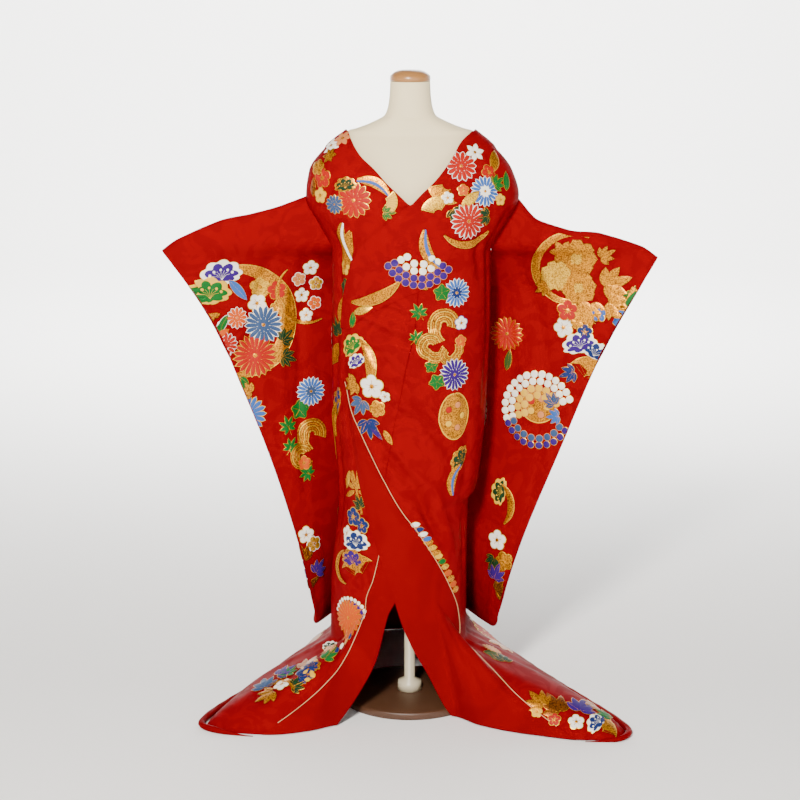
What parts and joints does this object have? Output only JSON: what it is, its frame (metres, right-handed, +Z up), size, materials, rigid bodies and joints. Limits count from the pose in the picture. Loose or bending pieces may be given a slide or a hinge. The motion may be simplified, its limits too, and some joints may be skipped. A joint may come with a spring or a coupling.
{
  "type": "uchikake wedding kimono on a dress form",
  "caption": "Long red brocade outer kimono with hanging sleeves, fronts turned outward and trailing hem, on a limbless dress form with pole and base.",
  "frame": {"origin": "centre of the underside of the stand's round base, on the floor", "axes": "+Z up, -Y towards the viewer of the garment's front, +X towards the wearer's left"},
  "size_m": [1.1475, 0.8144, 1.5005],
  "materials": {
    "brocade": "red silk satin brocade with coloured and gold embroidery",
    "lining": "plain deep red silk",
    "cord": "gold thread piping",
    "form_cover": "cream cotton cover",
    "cap_wood": "varnished light wood",
    "pole_metal": "satin paint",
    "base_wood": "brown stained and varnished wood"
  },
  "bodies": {
    "root": {"form_body": "form_cover", "form_cap": "cap_wood", "stand_pole": "pole_metal", "stand_base": "base_wood", "body_right": "brocade", "body_left": "brocade", "overlap_right": "brocade", "overlap_left": "brocade", "collar_right": "brocade", "collar_left": "brocade", "sleeve_right": "brocade", "sleeve_left": "brocade", "lining_right": "lining", "lining_left": "lining", "hem_roll_right": "lining", "hem_roll_left": "lining", "edge_cord_right": "cord", "edge_cord_left": "cord"}
  },
  "joints": []
}
